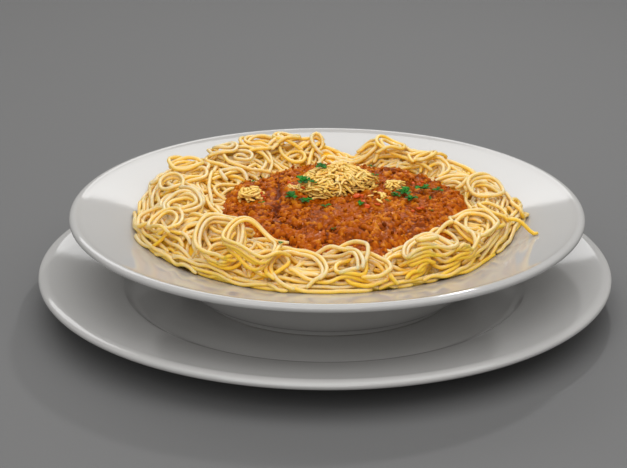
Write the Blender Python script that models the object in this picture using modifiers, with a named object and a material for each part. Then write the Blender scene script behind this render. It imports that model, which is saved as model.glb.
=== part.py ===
"""Spaghetti bolognese in a wide-rimmed pasta dish that stands on a dinner plate.

Sizes are in millimetres and become metres through MM. The origin is the middle of the plate's foot
ring on the table, +Z is up, and the diner sits on the -Y side.
"""

import math

import bmesh
import bpy
import numpy as np
from mathutils import Vector
from mathutils.geometry import interpolate_bezier

MM = 0.001
TURN_STEPS = 68          # sides of everything that is turned
GAP = 0.3                # room between pieces that rest on each other
FACET_ROOM = 0.25        # more room where both pieces are waves cut into flat faces
TURN_ROOM = 1.2          # more room where the heap bends over from the dish's wall to its rim

# The plate underneath.
PLATE_RADIUS = 156.9
PLATE_LIP_TOP = 20.8
PLATE_FLOOR = 7.5        # top of the flat middle
PLATE_FLOOR_RADIUS = 103.0
PLATE_FOOT_OUTER = 98.0
PLATE_FOOT_INNER = 93.5

# The pasta dish, measured from the plate's own origin.
DISH_SHIFT = 1.0         # the dish stands this far to the right of the plate's middle
DISH_RADIUS = 140.0
DISH_LIP_TOP = 53.8
DISH_SHOULDER_RADIUS = 106.0
DISH_SHOULDER = 46.2     # inner surface where the well ends and the rim starts
DISH_FLOOR = 14.0
DISH_FLOOR_RADIUS = 55.0
DISH_FOOT_RADIUS = 71.5
DISH_BOTTOM = PLATE_FLOOR + GAP
DISH_WALL = 4.2

# The heap of spaghetti: a ring of loops round a hollow that holds the sauce.
HEAP_RADIUS = 108.0
RIDGE_RADIUS = 79.0
# Height of the ridge at each bearing in degrees: 0 is to the right, 90 to the back. It dips in front
# and in one notch at the back.
RIDGE = ((-180, 64.0), (-130, 66.5), (-105, 61.5), (-85, 60.0), (-55, 61.0), (-25, 63.5), (10, 63.0),
         (40, 64.5), (66, 67.0), (79, 57.5), (91, 66.0), (120, 68.0), (150, 65.0), (180, 64.0))
FOLD_HEIGHT = 2.2        # how far the twisted folds of noodles stand out of the ridge
STRAND = 2.4             # thickness of one cooked strand

# The sauce, a lens in that hollow.
SAUCE_X = 10.0
SAUCE_Y = -5.0
SAUCE_RADIUS = 66.0
HOLLOW_FLOOR = 45.5
HOLLOW_RISE = 12.0       # how much higher the hollow is at the sauce's edge
SAUCE_CROWN = 65.0
SAUCE_FALL = 6.5         # how much lower the sauce is at its edge

# Grated cheese: name, middle, half width, half depth, height above the sauce, turn in degrees.
CHEESE = (
    ("grated_cheese_pile", (6.5, 8.0), 21.0, 27.0, 6.0, -25.0),
    ("grated_cheese_left", (-40.5, -3.0), 8.5, 8.0, 2.4, 10.0),
    ("grated_cheese_right", (38.0, 9.0), 8.0, 6.0, 2.2, 35.0),
)


def clear_scene():
    for item in list(bpy.data.objects):
        bpy.data.objects.remove(item, do_unlink=True)


def make_material(name, colour, roughness, coat=0.0):
    material = bpy.data.materials.new(name)
    material.use_nodes = True
    shader = material.node_tree.nodes["Principled BSDF"]
    shader.inputs["Base Color"].default_value = (*colour, 1.0)
    shader.inputs["Roughness"].default_value = roughness
    shader.inputs["Metallic"].default_value = 0.0
    shader.inputs["Coat Weight"].default_value = coat
    return material


def bend(start, first, second, end, steps):
    """Points along a cubic curve from start to end, without the start itself."""
    knots = [Vector((*point, 0.0)) for point in (start, first, second, end)]
    return [(point.x, point.y) for point in interpolate_bezier(*knots, steps + 1)[1:]]


def plate_profile():
    """Radius and height from the plate's middle out to its lip, and back along the underside."""
    floor_end = (PLATE_FLOOR_RADIUS, PLATE_FLOOR)
    step_top = (PLATE_FLOOR_RADIUS + 8.0, PLATE_FLOOR + 3.7)
    rim_end = (PLATE_RADIUS - 6.6, PLATE_LIP_TOP - 0.5)
    lip_under = (PLATE_RADIUS - 1.9, PLATE_LIP_TOP - 4.4)
    foot_top = (PLATE_FOOT_OUTER + 2.0, 2.9)
    points = [(0.0, PLATE_FLOOR), floor_end]
    points += bend(floor_end, (107.0, 7.5), (108.5, 9.6), step_top, 3)
    points += bend(step_top, (123.0, 14.0), (139.0, 17.2), rim_end, 3)
    points += [(PLATE_RADIUS - 3.4, PLATE_LIP_TOP), (PLATE_RADIUS, PLATE_LIP_TOP - 2.0), lip_under]
    points += bend(lip_under, (140.0, 13.0), (118.0, 7.4), foot_top, 3)
    points += [(PLATE_FOOT_OUTER, 0.0), (PLATE_FOOT_INNER, 0.0)]
    points += [(PLATE_FOOT_INNER - 1.5, 2.8), (0.0, 2.8)]
    return points


def dish_inside():
    """The dish's upper surface, from its middle to the lip."""
    floor_end = (DISH_FLOOR_RADIUS, DISH_FLOOR + 0.4)
    shoulder = (DISH_SHOULDER_RADIUS, DISH_SHOULDER)
    points = [(0.0, DISH_FLOOR), floor_end]
    points += bend(floor_end, (80.0, 15.0), (84.0, 40.2), shoulder, 6)
    points += [(DISH_RADIUS - 5.5, DISH_LIP_TOP - 0.9), (DISH_RADIUS - 2.8, DISH_LIP_TOP)]
    return points


def dish_profile():
    """The inside, the rounded lip, and the underside down to the foot ring."""
    lip_under = (DISH_RADIUS - 1.4, DISH_LIP_TOP - DISH_WALL)
    under_shoulder = (DISH_SHOULDER_RADIUS, DISH_SHOULDER - DISH_WALL)
    foot_top = (DISH_FOOT_RADIUS + 1.0, DISH_BOTTOM + 3.0)
    points = dish_inside()
    points += [(DISH_RADIUS, DISH_LIP_TOP - 1.9), lip_under, under_shoulder]
    points += bend(under_shoulder, (90.0, 38.0), (86.0, 14.0), foot_top, 4)
    points += [(DISH_FOOT_RADIUS, DISH_BOTTOM), (DISH_FOOT_RADIUS - 4.5, DISH_BOTTOM)]
    points += [(DISH_FOOT_RADIUS - 5.5, DISH_BOTTOM + 2.6), (0.0, DISH_BOTTOM + 2.4)]
    return points


def turned(name, profile, middle_x, collection, material):
    """A solid of revolution: the profile as a line of edges, turned by a Screw modifier."""
    mesh = bpy.data.meshes.new(name)
    points = [(radius * MM, 0.0, height * MM) for radius, height in profile]
    mesh.from_pydata(points, [(k, k + 1) for k in range(len(points) - 1)], [])
    piece = bpy.data.objects.new(name, mesh)
    collection.objects.link(piece)
    piece.location = (middle_x * MM, 0.0, 0.0)
    screw = piece.modifiers.new("Turn", "SCREW")
    screw.axis = "Z"
    screw.steps = TURN_STEPS
    screw.render_steps = TURN_STEPS
    screw.use_merge_vertices = True
    screw.merge_threshold = 1e-5
    screw.use_smooth_shade = True
    mesh.materials.append(material)
    return piece


def dish_surface(radius):
    """Height just above the dish's inside: the gap stands square to the slope.

    Over the turn between wall and rim the surface bulges, so there the gap is a little more.
    """
    inside = np.array(dish_inside())
    height = np.interp(radius, inside[:, 0], inside[:, 1])
    ahead = np.interp(radius + 1.0, inside[:, 0], inside[:, 1])
    slope = ahead - height
    over_turn = TURN_ROOM * np.exp(-(((radius - DISH_SHOULDER_RADIUS + 8.0) / 9.0) ** 2))
    return height + GAP * np.hypot(1.0, slope) + over_turn


def heap_outline(angle):
    """The spaghetti's uneven edge: broad lobes, and two bundles that stray to the sides."""
    lobes = 1.8 * np.sin(3 * angle + 0.6) + 1.5 * np.sin(7 * angle + 2.1) + 1.1 * np.sin(13 * angle)
    right_bundle = 6.0 * np.exp(-((turn_between(angle, -0.02) / 0.09) ** 2))
    left_bundle = 5.0 * np.exp(-((turn_between(angle, 2.62) / 0.08) ** 2))
    return HEAP_RADIUS + lobes + right_bundle + left_bundle


def turn_between(angle, other):
    return (angle - other + math.pi) % (2 * math.pi) - math.pi


def hollow_surface(x, y):
    """The bowl that the sauce lies in: it rises with the square of the distance."""
    spread = ((x - SAUCE_X) ** 2 + (y - SAUCE_Y) ** 2) / SAUCE_RADIUS**2
    return HOLLOW_FLOOR + HOLLOW_RISE * spread


def heap_top(x, y):
    """Ring of noodle loops: a ridge with twisted folds that falls to a thin edge, less the hollow."""
    radius = np.hypot(x - DISH_SHIFT, y)
    angle = np.arctan2(y, x - DISH_SHIFT)
    edge_radius = heap_outline(angle)
    ridge = np.interp(np.degrees(angle), *zip(*RIDGE))
    twist = 0.6 * np.sin(9 * angle + radius / 7.0) + 0.4 * np.sin(5 * angle - radius / 11.0 + 1.3)
    down = np.clip((radius - RIDGE_RADIUS) / (edge_radius - RIDGE_RADIUS), 0.0, 1.0)
    edge = dish_surface(edge_radius) + STRAND
    slope = ridge + FOLD_HEIGHT * twist * (1.0 - down) - (ridge - edge) * down**1.4
    return np.minimum(slope, hollow_surface(x, y))


def heap_bottom(x, y):
    return dish_surface(np.hypot(x - DISH_SHIFT, y))


def sauce_outline(angle):
    return SAUCE_RADIUS + 1.6 * np.sin(4 * angle + 0.5) + 1.3 * np.sin(7 * angle + 1.9)


def sauce_bottom(x, y):
    return hollow_surface(x, y) + GAP


def sauce_top(x, y):
    """A low dome with broad waves, never thinner than a film at its edge."""
    spread = ((x - SAUCE_X) ** 2 + (y - SAUCE_Y) ** 2) / SAUCE_RADIUS**2
    waves = 0.8 * np.sin(x / 8.0 + 0.7) * np.sin(y / 9.0 - 0.4)
    dome = SAUCE_CROWN - SAUCE_FALL * spread + waves
    return np.maximum(dome, sauce_bottom(x, y) + 1.4)


def rounded_heap(name, middle, outline, top, bottom, segments, rings, collection, material):
    """A closed heap: a sphere whose upper half becomes the top surface and lower half the bottom.

    A ring at polar angle p lies at sin(p) of the outline, so the rings crowd towards the edge,
    which comes out blunt and round. The ring on the equator sits midway between the surfaces.
    """
    shape = bmesh.new()
    bmesh.ops.create_uvsphere(shape, u_segments=segments, v_segments=rings, radius=1.0)
    mesh = bpy.data.meshes.new(name)
    shape.to_mesh(mesh)
    shape.free()
    unit = np.empty(len(mesh.vertices) * 3, np.float32)
    mesh.vertices.foreach_get("co", unit)
    unit = unit.reshape(-1, 3).astype(float)
    reach = np.hypot(unit[:, 0], unit[:, 1])
    angle = np.arctan2(unit[:, 1], unit[:, 0])
    x = middle[0] + reach * outline(angle) * np.cos(angle)
    y = middle[1] + reach * outline(angle) * np.sin(angle)
    high = top(x, y)
    low = bottom(x, y)
    share = np.where(unit[:, 2] > 1e-4, 1.0, np.where(unit[:, 2] < -1e-4, 0.0, 0.5))
    place = np.stack([x, y, low + (high - low) * share], axis=1) * MM
    mesh.vertices.foreach_set("co", place.astype(np.float32).ravel())
    mesh.shade_smooth()
    mesh.materials.append(material)
    piece = bpy.data.objects.new(name, mesh)
    collection.objects.link(piece)
    return piece


def cheese_heap(name, middle, half_width, half_depth, height, turn, collection, material):
    """A ragged low pile of shreds on the sauce, highest in its middle."""
    tilt = math.radians(turn)

    def outline(angle):
        local = angle - tilt
        oval = half_width * half_depth / np.hypot(half_depth * np.cos(local), half_width * np.sin(local))
        return oval * (1.0 + 0.12 * np.sin(5 * angle + 1.0) + 0.07 * np.sin(9 * angle))

    def bottom(x, y):
        return sauce_top(x, y) + GAP + FACET_ROOM

    def top(x, y):
        reach = np.hypot(x - middle[0], y - middle[1])
        edge = outline(np.arctan2(y - middle[1], x - middle[0]))
        crown = height * (1.0 - np.clip(reach / edge, 0.0, 1.0) ** 2)
        return bottom(x, y) + 1.2 + crown * (1.0 + 0.15 * np.sin(x / 3.0) * np.cos(y / 4.0))

    return rounded_heap(name, middle, outline, top, bottom, 24, 8, collection, material)


def build():
    clear_scene()
    collection = bpy.data.collections.new("spaghetti_bolognese")
    bpy.context.scene.collection.children.link(collection)
    glaze = make_material("white_glaze", (0.80, 0.79, 0.76), 0.08, coat=1.0)
    pasta = make_material("cooked_spaghetti", (0.80, 0.60, 0.25), 0.35)
    ragu = make_material("meat_sauce", (0.42, 0.10, 0.02), 0.35)
    cheese = make_material("pale_cheese", (0.88, 0.70, 0.32), 0.5)

    turned("underplate", plate_profile(), 0.0, collection, glaze)
    turned("pasta_dish", dish_profile(), DISH_SHIFT, collection, glaze)
    rounded_heap("spaghetti", (DISH_SHIFT, 0.0), heap_outline, heap_top, heap_bottom,
                 TURN_STEPS, 22, collection, pasta)
    rounded_heap("bolognese_sauce", (SAUCE_X, SAUCE_Y), sauce_outline, sauce_top, sauce_bottom,
                 48, 16, collection, ragu)
    for name, middle, half_width, half_depth, height, turn in CHEESE:
        cheese_heap(name, middle, half_width, half_depth, height, turn, collection, cheese)


build()
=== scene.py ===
"""Spaghetti bolognese in a wide-rimmed pasta dish on a dinner plate: the finished surfaces.

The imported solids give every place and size. Spaghetti, sauce, cheese and parsley are laid on one
relief, a square grid of heights over the dish, so each layer lies on what is already there.
Lengths inside the functions are in millimetres; add_mesh turns them into metres.
"""

import math

import bpy
import numpy as np
from bpy.props import FloatProperty, FloatVectorProperty, IntProperty, PointerProperty
from mathutils import Matrix, Vector
from mathutils.bvhtree import BVHTree


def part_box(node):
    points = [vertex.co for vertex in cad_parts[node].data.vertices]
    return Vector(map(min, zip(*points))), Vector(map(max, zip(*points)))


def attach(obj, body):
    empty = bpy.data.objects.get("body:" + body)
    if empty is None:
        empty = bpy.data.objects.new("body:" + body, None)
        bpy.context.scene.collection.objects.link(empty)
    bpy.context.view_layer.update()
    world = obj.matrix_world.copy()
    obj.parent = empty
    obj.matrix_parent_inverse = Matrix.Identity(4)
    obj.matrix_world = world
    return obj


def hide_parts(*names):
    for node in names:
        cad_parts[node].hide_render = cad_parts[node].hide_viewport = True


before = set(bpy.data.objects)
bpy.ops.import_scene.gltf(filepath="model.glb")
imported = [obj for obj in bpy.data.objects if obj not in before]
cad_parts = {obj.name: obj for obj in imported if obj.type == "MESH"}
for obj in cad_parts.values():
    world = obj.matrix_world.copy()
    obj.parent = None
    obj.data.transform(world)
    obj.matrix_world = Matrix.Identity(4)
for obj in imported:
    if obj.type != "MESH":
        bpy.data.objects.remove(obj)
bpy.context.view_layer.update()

bl_info = {
    "name": "Spaghetti Bolognese",
    "version": (1, 0, 0),
    "blender": (4, 5, 0),
    "location": "3D View > Sidebar > Dinner",
    "description": "Lays spaghetti, meat sauce, grated cheese and parsley in a pasta dish on a plate",
    "category": "Object",
}

MM = 0.001
BODY = "root"


def corners_of(node):
    """A solid's lowest and highest corner, in millimetres."""
    return [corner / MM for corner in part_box(node)]


# The dish and plate, as the solids have them.
PLATE_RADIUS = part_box("underplate")[1].x / MM
PLATE_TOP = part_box("underplate")[1].z / MM
DISH_LOW, DISH_HIGH = corners_of("pasta_dish")
DISH_X = (DISH_LOW.x + DISH_HIGH.x) / 2
DISH_RADIUS = (DISH_HIGH.x - DISH_LOW.x) / 2


# ---------------------------------------------------------------- settings

def colour(name, description, *default):
    """A setting that holds a colour."""
    return FloatVectorProperty(name=name, description=description, subtype="COLOR", default=default,
                               min=0, max=1)


def whole(name, description, default, least=0, most=99999):
    """A setting that holds a whole number."""
    return IntProperty(name=name, description=description, default=default, min=least, max=most)


class CrockerySettings(bpy.types.PropertyGroup):
    glaze: colour("Glaze", "Colour of the white glaze", 0.47, 0.463, 0.452)
    gloss: FloatProperty(name="Glaze roughness", description="0 is a mirror", subtype="FACTOR",
                         default=0.07, min=0, max=1)
    turn_steps: whole("Turn steps", "Sides of each turned piece", 216, 32, 360)


class SpaghettiSettings(bpy.types.PropertyGroup):
    thickness: FloatProperty(name="Strand thickness", description="Diameter of a cooked strand",
                             default=0.0022, min=0.001, max=0.004, unit="LENGTH", precision=4)
    # Pale colour: the palest strands, and the painted highlight along the strands' tops.
    pale_and_lit: colour("Pale pasta", "Colour of the palest strands", 0.76, 0.65, 0.42)
    # Golden colour: painted shade, reached where strands lie under others and along their lower sides.
    gold_in_shade: colour("Golden pasta", "Colour of the deepest strands", 1.0, 0.55, 0.001)
    most_bundles: whole("Bundles", "How often a bundle of strands is tried", 900, 10, 1200)
    seed: whole("Seed", "Chooses another heap", 11)


class SauceSettings(bpy.types.PropertyGroup):
    grain: FloatProperty(name="Mince grain", description="Usual radius of a grain of mince",
                         default=0.00095, min=0.0005, max=0.004, unit="LENGTH", precision=4)
    grain_count: whole("Grains", "Grains pressed into the sauce", 13000, 0, 20000)
    loose_count: whole("Loose grains", "Grains that lie on top", 500, 0, 3000)
    # Browned meat colour: real dark crumbs, and also the painted shade in creases and hollows.
    dark: colour("Browned meat", "Darkest grains", 0.11, 0.016, 0.0005)
    middle: colour("Tomato and meat", "Most of the sauce", 0.40, 0.079, 0.0008)
    # Oily tomato colour: real light crumbs, and also the painted light on what stands out.
    light: colour("Oily tomato", "Lightest grains", 0.60, 0.195, 0.009)
    seed: whole("Seed", "Scatters the grains another way", 5)


class ToppingSettings(bpy.types.PropertyGroup):
    cheese: colour("Cheese", "Colour of the grated cheese", 0.84, 0.53, 0.10)
    leaf: colour("Parsley", "Colour of the leaf's upper side", 0.011, 0.115, 0.006)
    tomato: colour("Tomato", "Colour of the tomato pieces", 0.56, 0.075, 0.008)
    seed: whole("Seed", "Scatters the toppings another way", 3)


class StudioSettings(bpy.types.PropertyGroup):
    lens: FloatProperty(name="Lens", description="Focal length", unit="CAMERA", default=114.83)
    elevation: FloatProperty(name="Elevation", description="Camera's angle above the table",
                             subtype="ANGLE", default=math.radians(21.0))
    distance: FloatProperty(name="Distance", description="From the camera to the dish",
                            unit="LENGTH", default=1.0963)
    floor: colour("Floor", "Colour of the table top", 0.14, 0.14, 0.14)


SETTINGS = {
    "dinner_crockery": CrockerySettings,
    "dinner_spaghetti": SpaghettiSettings,
    "dinner_sauce": SauceSettings,
    "dinner_toppings": ToppingSettings,
    "dinner_studio": StudioSettings,
}


# ---------------------------------------------------------------- meshes

def add_mesh(name, shape, material, node=None):
    """A piece from a shape: points in millimetres, quads and triangles as rows of point numbers,
    and a tint for each point or None. It stands for the CAD node, if one is named."""
    points, quads, triangles, tint = shape
    mesh = bpy.data.meshes.new(name)
    mesh.from_pydata((points * MM).tolist(), [], quads.tolist() + triangles.tolist())
    mesh.shade_smooth()
    if tint is not None:
        mesh.attributes.new("tint", "FLOAT", "POINT").data.foreach_set("value", tint.astype(np.float32))
    mesh.materials.append(material)
    piece = bpy.data.objects.new(name, mesh)
    bpy.context.scene.collection.objects.link(piece)
    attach(piece, BODY)
    if node:
        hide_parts(node)


def grid_quads(rows, columns, wrap):
    """Quads of a grid of points in row order. With wrap, the last column joins the first."""
    row, column = np.meshgrid(np.arange(rows - 1), np.arange(columns - (not wrap)), indexing="ij")
    here = row * columns + column
    beside = row * columns + (column + 1) % columns
    return np.stack([here, beside, beside + columns, here + columns], axis=-1).reshape(-1, 4)


def fan(pole, ring, flipped):
    """Triangles from a pole to a closed ring of points. With flipped, they face the other way."""
    after = np.roll(ring, -1)
    first, second = (after, ring) if flipped else (ring, after)
    return np.stack([np.full(len(ring), pole), first, second], axis=1)


def caps(count, sides, flipped):
    """Fans that close a tube of count points: its first ring to the pole after the points, and
    its last ring to the one after that."""
    ring = np.arange(sides)
    return np.concatenate([fan(count, ring, flipped),
                           fan(count + 1, count - sides + ring, not flipped)])


def join(parts):
    """Joins shapes into one."""
    offsets = np.cumsum([0] + [len(part[0]) for part in parts[:-1]])
    faces = [np.concatenate([part[k] + offset for part, offset in zip(parts, offsets)]) for k in (1, 2)]
    points, tints = (np.concatenate([part[k] for part in parts]) for k in (0, 3))
    return points, *faces, tints


def turned(profile, middle_x, steps):
    """A surface of revolution. The profile runs from the axis outwards over the top and back to
    the axis underneath: point (r, z) goes to (r cos a, r sin a, z) for every angle a."""
    profile = np.asarray(profile)
    angle = np.arange(steps) * 2 * math.pi / steps
    ring = profile[1:-1]
    points = np.stack([middle_x + ring[:, :1] * np.cos(angle), ring[:, :1] * np.sin(angle),
                       np.repeat(ring[:, 1:], steps, axis=1)], axis=-1).reshape(-1, 3)
    poles = [[middle_x, 0, profile[0, 1]], [middle_x, 0, profile[-1, 1]]]
    quads = grid_quads(len(ring), steps, wrap=True)[:, ::-1]
    return np.concatenate([points, poles]), quads, caps(len(points), steps, False), None


def curve(start, first, second, end, count):
    """Points along a cubic Bezier curve, without its start."""
    t = np.linspace(0, 1, count + 1)[1:, None]
    start, first, second, end = (np.array(p, float) for p in (start, first, second, end))
    return list(start * (1 - t) ** 3 + first * 3 * t * (1 - t) ** 2
                + second * 3 * t**2 * (1 - t) + end * t**3)


def rounded(corners, radius):
    """An outline with its inner corners cut off and bridged by short curves."""
    corners = [np.array(corner, float) for corner in corners]
    outline = corners[:1]
    for before, corner, after in zip(corners, corners[1:], corners[2:]):
        enter, leave = (
            corner + (other - corner) / np.linalg.norm(other - corner)
            * min(radius, 0.45 * np.linalg.norm(other - corner)) for other in (before, after))
        outline += [enter, *curve(enter, (enter + corner) / 2, (leave + corner) / 2, leave, 4)]
    return outline + corners[-1:]


def strands(paths, reaches, tints, sides=8, flat=1.0, fold=0.0, crown=0.0):
    """Tubes along paths. A point of a path has a ring of points round it, in the plane of the
    level line across the path and the line square to both; each end closes in a blunt tip. A
    reach is the tube's half width there. Flat is its thickness over its width, fold lifts its
    two sides, and crown paints light and shade into the tint: it adds to the tint along the
    upper side, a painted highlight, and takes off along the lower, a painted shade."""
    parts = []
    turn = np.arange(sides) * 2 * math.pi / sides
    for path, reach, tint in zip(paths, reaches, tints):
        ahead = unit(np.gradient(path, axis=0))
        across = np.stack([-ahead[:, 1], ahead[:, 0], np.zeros(len(path))], axis=1)
        across /= np.maximum(np.linalg.norm(across, axis=1, keepdims=True), 1e-6)
        upward = np.cross(ahead, across)
        ring = (np.cos(turn)[None, :, None] * across[:, None]
                + (flat * np.sin(turn) + fold * np.abs(np.cos(turn)))[None, :, None] * upward[:, None])
        points = (path[:, None] + reach[:, None, None] * ring).reshape(-1, 3)
        tips = [path[0] - ahead[0] * reach[0] * 0.4, path[-1] + ahead[-1] * reach[-1] * 0.4]
        shade = (tint[:, None] + crown * np.sin(turn) * np.abs(np.sin(turn))).ravel()
        shade = np.clip(np.concatenate([shade, [tint[0], tint[-1]]]), 0, 1)
        parts.append((np.concatenate([points, tips]), grid_quads(len(path), sides, wrap=True),
                      caps(len(points), sides, True), shade))
    return join(parts)


def lumps(rng, middles, sizes, tints, rows=5, columns=8, flat=1.0):
    """Rounded uneven lumps: balls whose points are pushed in or out by their shares along three
    random directions, and which are flattened by different amounts."""
    latitude = np.arange(rows + 2) / (rows + 1) * math.pi
    profile = np.column_stack([np.sin(latitude), np.cos(latitude)])
    ball, quads, triangles, _ = turned(profile, 0.0, columns)
    axes = rng.normal(0, 1, (len(middles), 3, 3))
    share = ball[None] @ (axes / np.linalg.norm(axes, axis=2, keepdims=True)).transpose(0, 2, 1)
    reach = 1 + 0.38 * share[..., 0] * share[..., 1] + 0.22 * share[..., 2] ** 2 - 0.1
    squash = rng.uniform(0.65, 1.1, (len(middles), 1, 3)) * [1, 1, flat]
    points = middles[:, None] + ball[None] * reach[..., None] * sizes[:, None, None] * squash
    step = (np.arange(len(middles)) * len(ball))[:, None, None]
    return (points.reshape(-1, 3), (quads[None] + step).reshape(-1, 4),
            (triangles[None] + step).reshape(-1, 3), np.repeat(tints, len(ball)))


# ---------------------------------------------------------------- lines and grids

def unit(rows):
    """Each row divided by its length."""
    return rows / np.linalg.norm(rows, axis=1, keepdims=True)


def degree_of(bearing):
    """The whole degree of a bearing given in radians."""
    return np.degrees(bearing).astype(int) % 360


def from_dish(x, y):
    """A place's distance and whole degree as seen from the dish's middle."""
    return np.hypot(x - DISH_X, y), degree_of(np.arctan2(y, x - DISH_X))


def way(heading):
    """The running sum of steps of 1 along these headings."""
    return np.cumsum(np.stack([np.cos(heading), np.sin(heading)], axis=1), axis=0)


def half_turned(angle):
    """The angle brought to between minus and plus half a turn."""
    return (angle + math.pi) % (2 * math.pi) - math.pi


def all_round(values, width):
    """Smooths a value given for each whole degree, across the seam too."""
    return smooth_line(np.tile(values, 3), width)[360:720]


def blurred(grid, width):
    """The grid with a bell-shaped blur of this width in cells, as a product of waves."""
    wave = [np.fft.fftfreq(size) for size in grid.shape]
    fade = np.exp(-2 * (math.pi * width) ** 2 * (wave[0][:, None] ** 2 + wave[1][None] ** 2))
    return np.fft.ifft2(np.fft.fft2(grid) * fade).real


def lumpy_noise(rng, shape, width):
    """Random lumps of about this width in cells, with a mean of 0 and a spread of 1."""
    field = blurred(rng.normal(0, 1, shape), width)
    return field / field.std()


def smooth_line(values, width):
    """Slides a bell-shaped weight of this width, in samples, along the last axis."""
    reach = int(3 * width) + 1
    weight = np.exp(-0.5 * (np.arange(-reach, reach + 1) / width) ** 2)
    weight /= weight.sum()
    padded = np.pad(values, [(0, 0)] * (values.ndim - 1) + [(reach, reach)], mode="edge")
    return np.apply_along_axis(lambda line: np.convolve(line, weight, mode="valid"), -1, padded)


def wobble(rng, shape, width):
    """Smoothed random numbers along the last axis."""
    return smooth_line(rng.normal(0, 1, shape), width)


def top_of(node, x, y):
    """Height of a solid's upper side at each place, by dropping a line on it, or 0 beside it."""
    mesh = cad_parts[node].data
    tree = BVHTree.FromPolygons([v.co[:] for v in mesh.vertices], [p.vertices[:] for p in mesh.polygons])
    hits = [tree.ray_cast(Vector((*place, 1.0)), Vector((0, 0, -1)))[0]
            for place in zip(x.ravel() * MM, y.ravel() * MM)]
    return np.array([0.0 if hit is None else hit.z / MM for hit in hits]).reshape(x.shape)


class Relief:
    """Heights in millimetres on a square grid over the dish, raised by everything laid on it."""
    half = 128.0

    def __init__(self, pitch=0.4):
        self.pitch = pitch
        line = np.arange(-self.half, self.half + pitch / 2, pitch)
        self.x, self.y = np.meshgrid(line + DISH_X, line, indexing="ij")
        self.height = np.zeros_like(self.x)
        self.tint = np.full_like(self.x, 0.4)

    def cell(self, x, y):
        limit = self.height.shape[0] - 2
        return (np.clip((x - DISH_X + self.half) / self.pitch, 0, limit),
                np.clip((y + self.half) / self.pitch, 0, limit))

    def read(self, x, y, heights=None):
        """Height at any place, blended from the four grid points round it."""
        heights = self.height if heights is None else heights
        column, row = self.cell(x, y)
        i, j = column.astype(int), row.astype(int)
        u, v = column - i, row - j
        return ((1 - u) * (1 - v) * heights[i, j] + u * (1 - v) * heights[i + 1, j]
                + (1 - u) * v * heights[i, j + 1] + u * v * heights[i + 1, j + 1])

    def around(self, x, y, radius):
        """Grid cells within radius of each place: their numbers, and the height of a ball's
        surface over its middle there, or -1 outside the ball."""
        radius = np.broadcast_to(radius, x.shape)[:, None]
        reach = int(math.ceil(radius.max() / self.pitch))
        span = np.arange(-reach, reach + 1)
        di, dj = (part.ravel() for part in np.meshgrid(span, span, indexing="ij"))
        column, row = self.cell(x, y)
        i = np.round(column).astype(int)[:, None] + di
        j = np.round(row).astype(int)[:, None] + dj
        size = self.height.shape[0]
        inside = (i >= 0) & (j >= 0) & (i < size) & (j < size)
        i, j = np.clip(i, 0, size - 1), np.clip(j, 0, size - 1)
        square = ((i - column[:, None]) ** 2 + (j - row[:, None]) ** 2) * self.pitch**2
        ball = np.sqrt(np.maximum(radius**2 - square, 0))
        return i, j, np.where(inside & (square < radius**2), ball, -1.0)

    def resting(self, x, y, radius):
        """Lowest height for the middle of a round thing that touches what is below it."""
        i, j, ball = self.around(x, y, radius)
        return np.where(ball >= 0, self.height[i, j] + ball, -1e3).max(axis=1)

    def press(self, x, y, z, radius, tint=None):
        """Raises the relief to the top of the balls with these middles; where a ball ends up on
        top, the relief takes its tint."""
        i, j, ball = self.around(x, y, radius)
        top = z[:, None] + ball
        keep = (ball >= 0) & (top > self.height[i, j])
        if tint is not None:
            order = np.argsort(top[keep])
            tint = np.broadcast_to(tint[:, None], i.shape)
            self.tint[i[keep][order], j[keep][order]] = tint[keep][order]
        np.maximum.at(self.height, (i[keep], j[keep]), top[keep])


SERVING = {}             # the relief and what every step that lays food reads, by name
CHEESES = "grated_cheese_pile", "grated_cheese_left", "grated_cheese_right"


def start_relief():
    """The relief as the bare dish, with the solids' upper sides kept by their nodes' names."""
    relief, coarse = Relief(), Relief(1.6)
    inside = np.array(dish_inside() + [(DISH_RADIUS, DISH_HIGH.z)])
    dish = np.interp(np.hypot(relief.x - DISH_X, relief.y), inside[:, 0], inside[:, 1])
    for node in ("spaghetti", "bolognese_sauce", *CHEESES):
        heights = top_of(node, coarse.x, coarse.y)
        SERVING[node] = np.maximum(coarse.read(relief.x, relief.y, heights), dish)
    relief.height = dish.copy()
    SERVING.update(relief=relief, dish=dish)
    SERVING["edge"] = heap_edge()


# ---------------------------------------------------------------- spaghetti

# The points of a strand's path lie 1 mm apart.
POOL = 1500, 190         # plan paths to choose from, and points in each
HEAP_DEPTH = 7.0         # of loose strands over the core
MAT_DEPTH = 2.6          # how far over the core the strands of the mat may rise
MAT_STRANDS = 360
ARCH_RADIUS = 6.0        # tightest bend of a strand over what it lies on
SAG_RADIUS = 8.0         # tightest bend where it sags between two of them
PROUD = 3.0              # how far a strand may rise over the level that it helps to fill
MOST = 85                # that share of a strand's points, in percent, has to keep to such a limit
CURLS = 76               # arcs and small loops on top of the heap
HIGHEST = 73.5           # level that no loop rises over
UNDER_SAUCE = 16         # how far the strands run in under the sauce's edge
TURN_BACK = 15.0         # from a boundary, the distance at which a strand starts to turn away

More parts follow.
